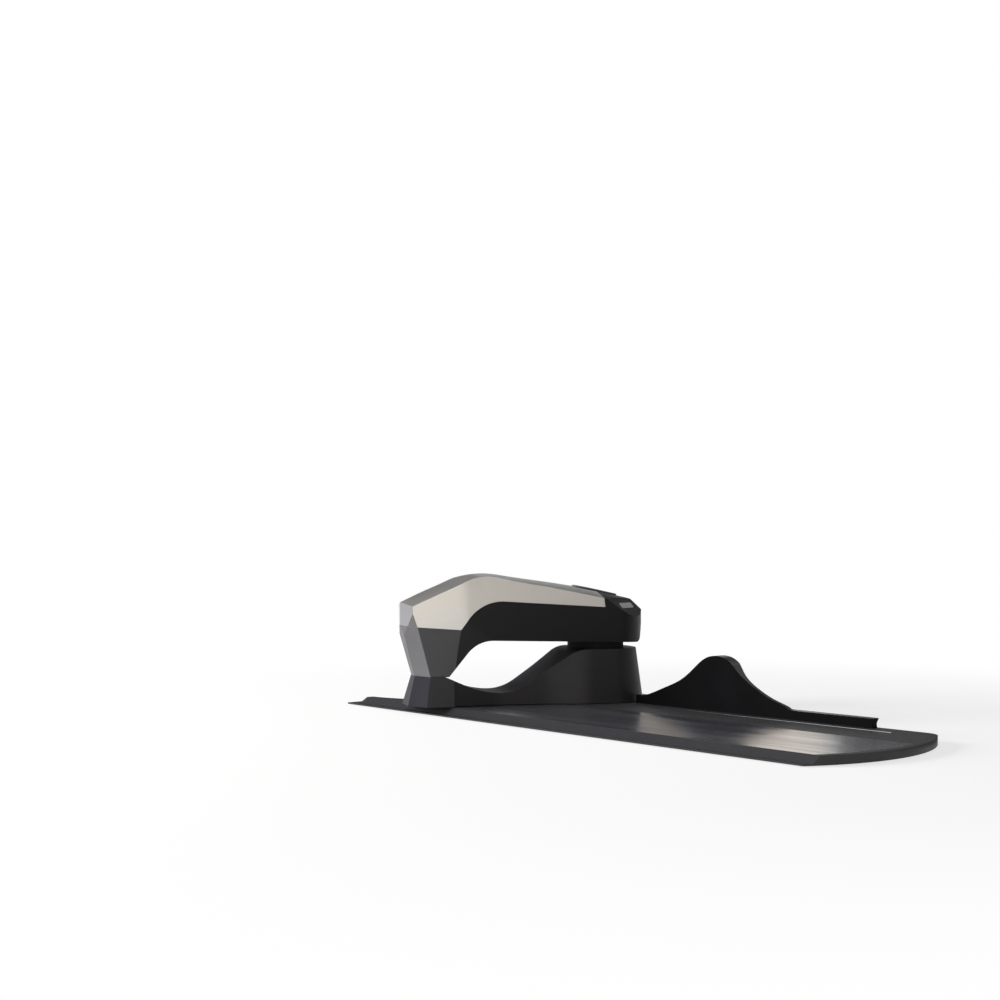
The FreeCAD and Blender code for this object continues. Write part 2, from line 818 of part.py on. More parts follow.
def tile_pad():
    top = tile_top - tile_thickness
    return cylinder(tile_radius, bore_centre, 0, top - tile_pad_thickness, top)


def calibration_tile():
    return cylinder(tile_radius, bore_centre, 0, tile_top - tile_thickness, tile_top)


# Guide plate, built in its own frame and then turned under the dock

def guide_outline(inset, z):
    # Straightedge, bulging right end with its far corner, far edge, and the hollow left end
    def at(x, y):
        return Vector(x, y, z)

    far = guide_width - inset
    end_centre_x = guide_length - math.sqrt(end_radius ** 2 - end_middle ** 2)
    radius = end_radius - inset
    near_x = end_centre_x + math.sqrt(radius ** 2 - (end_middle - inset) ** 2)
    corner = end_corner - inset
    corner_y = far - corner
    corner_x = end_centre_x + math.sqrt((radius - corner) ** 2 - (corner_y - end_middle) ** 2)
    turn = math.atan2(corner_y - end_middle, corner_x - end_centre_x)
    joint = at(end_centre_x + radius * math.cos(turn), end_middle + radius * math.sin(turn))
    half_way = (turn + math.pi / 2) / 2
    corner_middle = at(corner_x + corner * math.cos(half_way), corner_y + corner * math.sin(half_way))
    far_left = at(far_edge_start + inset, far)
    tongue_top = at(inset, tongue_width - inset)
    edges = [
        Part.LineSegment(at(inset, inset), at(near_x, inset)).toShape(),
        Part.Arc(at(near_x, inset), at(end_centre_x + radius, end_middle), joint).toShape(),
        Part.Arc(joint, corner_middle, at(corner_x, far)).toShape(),
        Part.LineSegment(at(corner_x, far), far_left).toShape(),
        Part.Arc(far_left, at(hollow_end[0] + inset, hollow_end[1]), tongue_top).toShape(),
        Part.LineSegment(tongue_top, at(inset, inset)).toShape(),
    ]
    return Part.Wire(edges)


def guide_slab(inset, z0, z1):
    return Part.Face(guide_outline(inset, z0)).extrude(Vector(0, 0, z1 - z0))


def lip_cuts():
    # A thin lip runs along the straightedge and round its tip, under a sloping wall
    reach = 40.0
    profile = [(-reach, lip_height, 0.0), (lip_width, lip_height, 0.0),
               (lip_width + lip_slope, guide_height, 0.0), (lip_width + lip_slope, reach, 0.0),
               (-reach, reach, 0.0)]
    near = Part.Face(rounded_wire(profile, lambda p: Vector(-reach, p.x, p.y)))
    tip_profile = [(x + tip_lip - lip_width if x > 0 else x, z, r) for x, z, r in profile]
    tip = Part.Face(rounded_wire(tip_profile, lambda p: Vector(p.x, -reach, p.y)))
    return [near.extrude(Vector(guide_length + 2 * reach, 0, 0)), tip.extrude(Vector(0, 2 * reach, 0))]


def panel_slab(grow, z0, z1):
    # The smooth reading surface stops short of the rims and of the hollow left end
    zone = box(panel_start - grow, guide_length + end_radius, panel_near - grow, panel_far + grow, z0, z1)
    return guide_slab(panel_rim - grow, z0, z1).common(zone)


def sheet_slab(gap, z0, z1):
    start = lip_width + guide_wall + gap
    zone = box(tip_lip + guide_wall + gap, guide_length + end_radius, start, guide_width, z0, z1)
    return guide_slab(guide_wall + gap, z0, z1).common(zone)


def guide_pockets(z0, z1):
    # Hollows under the top skin, between the ribs
    rim = guide_wall + 2.0
    zone = box(pocket_start, guide_length + end_radius, lip_width + rim, pocket_far, z0, z1)
    pockets = guide_slab(rim, z0, z1).common(zone)
    for x in rib_places:
        pockets = pockets.cut(box(x, x + rib_thickness, 0.0, guide_width, z0, z1))
    long_rib = box(0.0, guide_length + end_radius, long_rib_place, long_rib_place + rib_thickness, z0, z1)
    return pockets.cut(long_rib)


def rail_screw_centres():
    return [(x, rail_near + rail_screw_line) for x in rail_screw_places]


def guide_plate():
    sheet_top = strip_height + base_sheet_height
    above = guide_height + 1.0
    plate = guide_slab(0.0, strip_height, guide_height)
    for cut in lip_cuts():
        plate = plate.cut(cut)
    plate = plate.cut(sheet_slab(0.0, 0.0, sheet_top))
    plate = plate.cut(guide_pockets(sheet_top, guide_height - guide_skin))
    plate = plate.cut(panel_slab(panel_gap, guide_height - panel_depth, above))
    groove_start, groove_end, groove_near = groove
    plate = plate.cut(box(groove_start, groove_end, groove_near, groove_near + groove_width,
                          guide_height - groove_depth, above))
    for x, y in rail_screw_centres():
        plate = plate.cut(cylinder(rail_screw_radius + screw_gap, x, y, 0.0, above))
        plate = plate.cut(cylinder(rail_head_radius + screw_gap, x, y, 0.0, sheet_top + rail_head_height))
    return plate


def base_sheet():
    return sheet_slab(base_sheet_gap, strip_height, strip_height + base_sheet_height)


def grip_strips():
    strips = [box(x0, x1, y, y + strip_width, 0.0, strip_height) for x0, x1, y in (near_strip, far_strip)]
    return Part.makeCompound(strips)


def reading_panel():
    return panel_slab(0.0, guide_height - panel_depth, guide_height)


def fin_blade(y0, y1):
    # Bell-shaped hand fin that rises out of the low rail
    def at(x, height):
        return Vector(x, y0, guide_height + height)

    rise = fin_height - rail_low
    bell_points = [at(fin_peak + offset, rail_low + share * rise) for offset, share in fin_curve]
    bell = Part.BSplineCurve()
    bell.interpolate(Points=bell_points, InitialTangent=Vector(1, 0, 0), FinalTangent=Vector(1, 0, 0))
    corners = [bell_points[-1], at(rail_end, rail_low), at(rail_end, 0.0), at(rail_start, 0.0),
               at(rail_start, rail_low), bell_points[0]]
    edges = [bell.toShape()]
    for start, finish in zip(corners, corners[1:]):
        edges.append(Part.LineSegment(start, finish).toShape())
    return Part.Face(Part.Wire(edges)).extrude(Vector(0, y1 - y0, 0))


def along_rail(corners):
    # A section, as distance from the rail's near side and height, drawn out over the rail's length
    wire = rounded_wire(corners, lambda p: Vector(rail_start, rail_near + p.x, guide_height + p.y))
    return Part.Face(wire).extrude(Vector(rail_end - rail_start, 0, 0))


def rail_fin():
    # The crest curls away from the plate so that the thumb can push on it
    top = fin_height + 10.0
    reach = fin_thickness + crest_overhang
    curl = [(0.0, 0.0, 0.0), (fin_thickness, 0.0, 0.0), (fin_thickness, crest_start, crest_inner_radius),
            (reach, crest_end, crest_outer_radius), (reach, top, 0.0), (0.0, top, 0.0)]
    bell = fin_blade(rail_near, rail_near + reach).common(along_rail(curl))
    rail = along_rail([(y, z, 0.0) for y, z in rail_section])
    solid = fuse([bell, rail])
    for x, y in rail_screw_centres():
        hole_top = guide_height + rail_screw_reach + rail_hole_depth
        solid = solid.cut(cylinder(rail_screw_radius, x, y, guide_height, hole_top))
    return solid


def rail_screws():
    screws = []
    low = strip_height + base_sheet_height
    for x, y in rail_screw_centres():
        head = cylinder(rail_head_radius, x, y, low, low + rail_head_height)
        shank = cylinder(rail_screw_radius, x, y, low + rail_head_height, guide_height + rail_screw_reach)
        screws.append(fuse([head, shank]))
    return Part.makeCompound(screws)


def build():
    guide = {
        "guide_plate": guide_plate(),
        "guide_base_sheet": base_sheet(),
        "grip_strips": grip_strips(),
        "reading_panel": reading_panel(),
        "rail_fin": rail_fin(),
        "rail_screws": rail_screws(),
    }
    upper = {
        "dock_shell": dock_shell(),
        "dock_base_plate": dock_base_plate(),
        "dock_screws": dock_screw_set(),
        "dock_feet": dock_foot_set(),
        "tile_holder": tile_holder(),
        "tile_pad": tile_pad(),
        "calibration_tile": calibration_tile(),
        "seat_pad": seat_pad(),
        "nose_tip_ring": nose_tip_ring(),
        "aperture_window": aperture_window(),
        "optics_barrel": optics_barrel(),
        "focusing_lens": focusing_lens(),
        "led_board": led_board(),
        "measuring_leds": measuring_leds(),
        "light_sensor": light_sensor(),
        "main_board": main_board(),
        "board_chips": board_chips(),
        "usb_socket": usb_socket(),
        "button_switch": button_switch(),
        "status_lens": status_lens(),
        "rear_foot": rear_foot(),
        "housing_screws": housing_screws(),
        "measure_button": measure_button(),
    }
    upper.update(reader_shells())
    parts = {}
    turn = FreeCAD.Rotation(Vector(0, 0, 1), guide_turn)
    under = turn.multVec(Vector(guide_under_dock[0], guide_under_dock[1], 0))
    shift = Vector(-under.x, -reader_half_width - under.y, 0)
    for name, shape in guide.items():
        parts[name] = shape.transformed(FreeCAD.Placement(shift, turn).toMatrix())
    for name, shape in upper.items():
        parts[name] = shape.translated(Vector(0, 0, guide_height))
    return parts


def centred(parts):
    # The origin lies on the table, in the middle of the space that the object takes
    whole = FreeCAD.BoundBox()
    for shape in parts.values():
        whole.add(shape.optimalBoundingBox(False, False))
    move = Vector(-(whole.XMin + whole.XMax) / 2, -(whole.YMin + whole.YMax) / 2, 0)
    print("origin move", move, "size", whole.XLength, whole.YLength, whole.ZMax)
    return {name: shape.translated(move) for name, shape in parts.items()}


os.makedirs("parts", exist_ok=True)
for name, shape in centred(build()).items():
    shape.exportStep("parts/" + name + ".step")
    print(name, len(shape.Solids), round(shape.Volume), shape.isValid())
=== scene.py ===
import math
import bmesh
import bpy
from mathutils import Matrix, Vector


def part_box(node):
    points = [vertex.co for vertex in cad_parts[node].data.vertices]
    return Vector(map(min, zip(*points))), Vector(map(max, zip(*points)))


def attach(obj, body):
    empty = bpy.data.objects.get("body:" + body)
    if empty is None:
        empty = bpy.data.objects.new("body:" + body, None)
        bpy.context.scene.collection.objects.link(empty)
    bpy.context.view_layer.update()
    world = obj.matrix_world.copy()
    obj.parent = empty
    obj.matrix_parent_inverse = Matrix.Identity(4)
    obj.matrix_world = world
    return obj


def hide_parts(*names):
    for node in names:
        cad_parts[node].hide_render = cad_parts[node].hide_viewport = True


# Looks of a hand-held print colorimeter on its calibration dock and guide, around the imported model.
# Places and sizes are in metres, and in millimetres where a name ends in Mm.

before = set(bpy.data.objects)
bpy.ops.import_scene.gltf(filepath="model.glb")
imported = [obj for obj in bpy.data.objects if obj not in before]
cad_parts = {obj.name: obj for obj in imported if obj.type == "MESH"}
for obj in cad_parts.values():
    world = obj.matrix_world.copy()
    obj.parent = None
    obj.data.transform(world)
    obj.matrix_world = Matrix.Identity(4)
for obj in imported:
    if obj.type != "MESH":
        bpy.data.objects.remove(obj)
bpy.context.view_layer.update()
mm = 0.001
guideTurn = 65.0                # degrees that the guide lies turned under the reader


# Camera and studio

cameraView = {
    "place": (-0.316, -0.834, 0.108),
    "heading": 16.0,            # degrees, from straight across towards the reader's rear
    "lens": 54.0,
    "horizonShift": 0.045,      # the photograph's horizon lies a little under its middle
    "nearest": 0.01,
    "farthest": 50.0,
}


def makeCamera():
    data = bpy.data.cameras.new("photoCamera")
    data.lens = cameraView["lens"]
    data.shift_y = cameraView["horizonShift"]
    data.clip_start = cameraView["nearest"]
    data.clip_end = cameraView["farthest"]
    camera = bpy.data.objects.new("photoCamera", data)
    camera.location = cameraView["place"]
    camera.rotation_euler = (math.radians(90.0), 0.0, math.radians(-cameraView["heading"]))
    bpy.context.scene.collection.objects.link(camera)
    bpy.context.scene.camera = camera


def linearColour(hexCode):
    # sRGB hex to the linear values that the shaders take
    values = [int(hexCode[i:i + 2], 16) / 255 for i in (1, 3, 5)]
    linear = [v / 12.92 if v <= 0.04045 else ((v + 0.055) / 1.055) ** 2.4 for v in values]
    return tuple(linear) + (1.0,)


def addNode(tree, kind, settings=None, links=None):
    # Settings are the node's own or those of its sockets; links join its sockets to others' outputs
    node = tree.nodes.new(kind)
    for name, value in (settings or {}).items():
        if isinstance(name, str) and hasattr(node, name):
            setattr(node, name, value)
        else:
            node.inputs[name].default_value = value
    for name, socket in (links or {}).items():
        tree.links.new(socket, node.inputs[name])
    return node


def perMetre(millimetres):
    # Texture scale whose pattern repeats about once in that many millimetres
    return 1000.0 / millimetres


studio = {
    "floorColour": "#EEEEED",
    "floorSize": 8.0,
    "floorGlow": 0.70,          # share of plain white in the floor near the object, which keeps it pale
    "fadeStart": 0.22,          # the floor turns into the white background between these distances
    "fadeEnd": 0.60,
    "skyStrength": 0.16,        # of the world's plain light on the object
    "whiteStrength": 1.0,       # shows as plain white
    "aim": (0.0, 0.0, 0.03),    # where the lamps point
    "clothRise": 0.002,         # height of the dark cloths over the floor
}


white = (1.0, 1.0, 1.0, 1.0)


def seesBackground(tree):
    # 1 for rays that show the white background: from the camera, off gloss and through glass
    path = addNode(tree, "ShaderNodeLightPath")
    first = addNode(tree, "ShaderNodeMath", {"operation": "MAXIMUM"},
                    {0: path.outputs["Is Camera Ray"], 1: path.outputs["Is Glossy Ray"]})
    return addNode(tree, "ShaderNodeMath", {"operation": "MAXIMUM"},
                   {0: first.outputs[0], 1: path.outputs["Is Transmission Ray"]}).outputs[0]


def makeWorld():
    world = bpy.data.worlds.new("studioWorld")
    bpy.context.scene.world = world
    world.use_nodes = True
    tree = world.node_tree
    tree.nodes.clear()
    soft = addNode(tree, "ShaderNodeBackground", {"Color": white, "Strength": studio["skyStrength"]})
    shown = addNode(tree, "ShaderNodeBackground", {"Color": white, "Strength": studio["whiteStrength"]})
    mix = addNode(tree, "ShaderNodeMixShader", None,
                  {0: seesBackground(tree), 1: soft.outputs[0], 2: shown.outputs[0]})
    addNode(tree, "ShaderNodeOutputWorld", None, {"Surface": mix.outputs[0]})


lamps = [
    # Soft box low on the left: it reaches the chamfers of nose and cup
    {"name": "leftSoftbox", "place": (-1.9, 0.40, 0.50), "size": 0.9, "power": 105.0, "gloss": False},
    # Weak fill from the front and a little from the left
    {"name": "frontSoftbox", "place": (-0.8, -1.8, 0.8), "size": 1.0, "power": 4.0, "gloss": False},
    # Broad soft box overhead, the only lamp that shows in gloss
    {"name": "topSoftbox", "place": (-0.2, -0.3, 2.0), "size": 1.4, "power": 6.0, "gloss": True},
]


def makeLamp(look):
    data = bpy.data.lights.new(look["name"], "AREA")
    data.shape = "SQUARE"
    data.size = look["size"]
    data.energy = look["power"]
    lamp = bpy.data.objects.new(look["name"], data)
    lamp.visible_glossy = look["gloss"]
    lamp.location = look["place"]
    towards = Vector(studio["aim"]) - Vector(look["place"])
    lamp.rotation_euler = towards.to_track_quat("-Z", "Y").to_euler()
    bpy.context.scene.collection.objects.link(lamp)


def makeFloor():
    half = studio["floorSize"] / 2
    corners = [(-half, -half, 0), (half, -half, 0), (half, half, 0), (-half, half, 0)]
    mesh = bpy.data.meshes.new("floor")
    mesh.from_pydata(corners, [], [(0, 1, 2, 3)])
    floor = bpy.data.objects.new("floor", mesh)
    bpy.context.scene.collection.objects.link(floor)
    material = bpy.data.materials.new("paleStudioFloor")
    material.use_nodes = True
    tree = material.node_tree
    tree.nodes.clear()
    paper = addNode(tree, "ShaderNodeBsdfDiffuse", {"Color": linearColour(studio["floorColour"])})
    shown = addNode(tree, "ShaderNodeEmission", {"Color": white, "Strength": studio["whiteStrength"]})
    place = addNode(tree, "ShaderNodeNewGeometry")
    distance = addNode(tree, "ShaderNodeVectorMath", {"operation": "LENGTH"},
                       {0: place.outputs["Position"]})
    fade = addNode(tree, "ShaderNodeMapRange",
                   {"interpolation_type": "SMOOTHSTEP", "From Min": studio["fadeStart"],
                    "From Max": studio["fadeEnd"], "To Min": studio["floorGlow"]},
                   {"Value": distance.outputs["Value"]})
    share = addNode(tree, "ShaderNodeMath", {"operation": "MULTIPLY"},
                    {0: fade.outputs["Result"], 1: seesBackground(tree)})
    mix = addNode(tree, "ShaderNodeMixShader", None,
                  {0: share.outputs[0], 1: paper.outputs[0], 2: shown.outputs[0]})
    addNode(tree, "ShaderNodeOutputMaterial", None, {"Surface": mix.outputs[0]})
    mesh.materials.append(material)


# Cards round the table, seen only in gloss: each stands on the line between two places on the floor
backWall = {"left": (-0.30, 2.25), "right": (2.3, 1.50)}
cards = {
    # Behind the object, low: the sheet mirrors them, with two pale strips between the greys
    "backLowLeft": {
        "shade": "#606064", "from": (-0.10, 2.20), "to": (0.976, 1.916), "low": 0.02, "high": 0.33},
    "backLowRight": {
        "shade": "#606064", "from": (1.161, 1.864), "to": backWall["right"], "low": 0.02, "high": 0.33},
    "backGlow": {
        "shade": "#B0A89C", "from": (0.765, 1.94), "to": (0.875, 1.92), "low": 0.03, "high": 0.60},
    "warmStrip": {
        "shade": "#FFF4E6", "glow": 1.5, "from": (0.95, 1.94), "to": (1.14, 1.89), "low": 0.26, "high": 0.62},
    # Behind the object, higher: the crown of the cover mirrors them
    "backMiddleLeft": {
        "shade": "#B4B4BC", "from": (0.42, 2.07), "to": (0.94, 1.93), "low": 0.35, "high": 0.85},
    "backDim": {
        "shade": "#202024", "from": backWall["left"], "to": (0.40, 2.075), "low": 0.35, "high": 0.86},
    "backMiddleRight": {
        "shade": "#343438", "from": (1.16, 1.87), "to": backWall["right"], "low": 0.35, "high": 0.85},
    "backUpper": {
        "shade": "#2C2C30", "from": backWall["left"], "to": backWall["right"], "low": 0.87, "high": 2.4},
    # In front: the long silver side and the dock's column mirror them
    "frontCard": {
        "shade": "#A49581", "from": (0.30, -2.0), "to": (0.80, -1.85), "low": 0.0, "high": 1.4},
    "frontGlow": {
        "shade": "#FFF1DF", "glow": 1.5, "from": (-0.9, -1.9), "to": (0.12, -2.0), "low": 0.0, "high": 1.0},
    "frontGap": {
        "shade": "#3C3730", "from": (0.13, -2.0), "to": (0.29, -2.0), "low": 0.0, "high": 1.0},
    "frontRight": {
        "shade": "#202022", "from": (0.86, -1.82), "to": (1.88, -1.32), "low": 0.0, "high": 1.2},
    # On the right and on the left: the end of the column and the facets round the nose mirror them
    "rightCard": {
        "shade": "#28282A", "from": (1.9, -1.3), "to": (2.1, 1.0), "low": 0.12, "high": 2.0},
    "leftCard": {
        "shade": "#303034", "from": (-1.95, 0.55), "to": (-1.35, 1.45), "low": 0.05, "high": 1.5},
    "leftDark": {
        "shade": "#1E1E20", "from": (-2.4, -1.1), "to": (-2.3, 0.60), "low": 0.0, "high": 2.2},
    "highLeft": {
        "shade": "#3C3C42", "from": (-2.0, 0.5), "to": (-0.35, 2.2), "low": 1.15, "high": 2.8},
    "coolCard": {
        "shade": "#9494A6", "from": (-1.40, 1.45), "to": (-0.75, 1.95), "low": 0.0, "high": 1.0},
    # Cloths laid on the floor, four corners each: what leans down towards them mirrors them
    "nearCloth": {
        "shade": "#151517", "corners": ((-0.17, 0.02), (-0.13, 0.29), (-0.36, 0.48), (-0.52, 0.12))},
    "rightCloth": {
        "shade": "#1A1A1C", "corners": ((0.09, -0.185), (0.55, -0.62), (0.80, -0.20), (0.155, -0.10))},
    "farCloth": {
        "shade": "#8E8E9E", "corners": ((-0.53, 0.13), (-0.37, 0.49), (-0.80, 1.80), (-1.45, 1.30))},
}


def makeCard(name, look):
    material = bpy.data.materials.new(name + "Tone")
    material.use_nodes = True
    tree = material.node_tree
    tree.nodes.clear()
    tone = addNode(tree, "ShaderNodeEmission",
                   {"Color": linearColour(look["shade"]), "Strength": look.get("glow", 1.0)})
    addNode(tree, "ShaderNodeOutputMaterial", None, {"Surface": tone.outputs[0]})
    if "corners" in look:
        corners = [corner + (studio["clothRise"],) for corner in look["corners"]]
    else:
        start, end, low, high = look["from"], look["to"], look["low"], look["high"]
        corners = [start + (low,), end + (low,), end + (high,), start + (high,)]
    mesh = bpy.data.meshes.new(name)
    mesh.from_pydata(corners, [], [(0, 1, 2, 3)])
    mesh.materials.append(material)
    card = bpy.data.objects.new(name, mesh)
    bpy.context.scene.collection.objects.link(card)
    card.visible_camera = False
    card.visible_diffuse = False
    card.visible_shadow = False
    card.visible_transmission = False


makeCamera()
makeWorld()
for lamp in lamps:
    makeLamp(lamp)
makeFloor()
for card, look in cards.items():
    makeCard(card, look)
bpy.context.scene.view_settings.view_transform = "Standard"
print("studio ready")


# Materials: each starts from the real material and how its surface was made

def startMaterial(name):
    material = bpy.data.materials.new(name)
    material.use_nodes = True
    tree = material.node_tree
    tree.nodes.clear()
    surface = addNode(tree, "ShaderNodeBsdfPrincipled")
    addNode(tree, "ShaderNodeOutputMaterial", None, {"Surface": surface.outputs[0]})
    coordinates = addNode(tree, "ShaderNodeTexCoord").outputs["Object"]
    return material, tree, surface, coordinates


# Detail of the noise in every grained surface, and the stretch of its values that the gloss follows
noise = {"mottleDetail": 3.0, "grainDetail": 2.0, "least": 0.3, "most": 0.7}


def grainedSurface(name, look):
    # Moulded, painted or plated surface: mottled colour, uneven gloss and a fine bump, all from noise.
    # The grain of each is drawn coarser than the real texture of about 0.1 mm, so that it shows.
    material, tree, surface, coordinates = startMaterial(name)
    for socket in ("Metallic", "IOR", "Specular IOR Level", "Coat Weight", "Coat Roughness"):
        if socket in look:
            surface.inputs[socket].default_value = look[socket]
    if "drawnDegrees" in look:
        # The pattern is drawn out along the guide, as a sheet's rollers leave it
        turned = addNode(tree, "ShaderNodeMapping", {"Rotation": (0, 0, math.radians(look["drawnDegrees"]))},
                         {"Vector": coordinates})
        coordinates = addNode(tree, "ShaderNodeMapping", {"Scale": (1 / look["drawnTimes"], 1, 1)},
                              {"Vector": turned.outputs[0]}).outputs[0]
    broad = addNode(tree, "ShaderNodeTexNoise",
                    {"Scale": perMetre(look["mottleMm"]), "Detail": noise["mottleDetail"]},
                    {"Vector": coordinates})
    tone = addNode(tree, "ShaderNodeMix", {"data_type": "RGBA"}, {0: broad.outputs["Fac"]})
    tone.inputs[6].default_value = linearColour(look["dark"])       # sockets 6 and 7 are its two colours
    tone.inputs[7].default_value = linearColour(look["light"])
    tree.links.new(tone.outputs[2], surface.inputs["Base Color"])
    gloss = addNode(tree, "ShaderNodeMapRange",
                    {"From Min": noise["least"], "From Max": noise["most"],
                     "To Min": look["roughness"] - look["roughSpread"],
                     "To Max": look["roughness"] + look["roughSpread"]}, {"Value": broad.outputs["Fac"]})
    tree.links.new(gloss.outputs["Result"], surface.inputs["Roughness"])
    grain = addNode(tree, "ShaderNodeTexNoise",
                    {"Scale": perMetre(look["grainMm"]), "Detail": noise["grainDetail"]},
                    {"Vector": coordinates})
    bump = addNode(tree, "ShaderNodeBump", {"Strength": look["bump"], "Distance": look["bumpMm"] * mm},
                   {"Height": grain.outputs["Fac"]})
    tree.links.new(bump.outputs["Normal"], surface.inputs["Normal"])
    return material


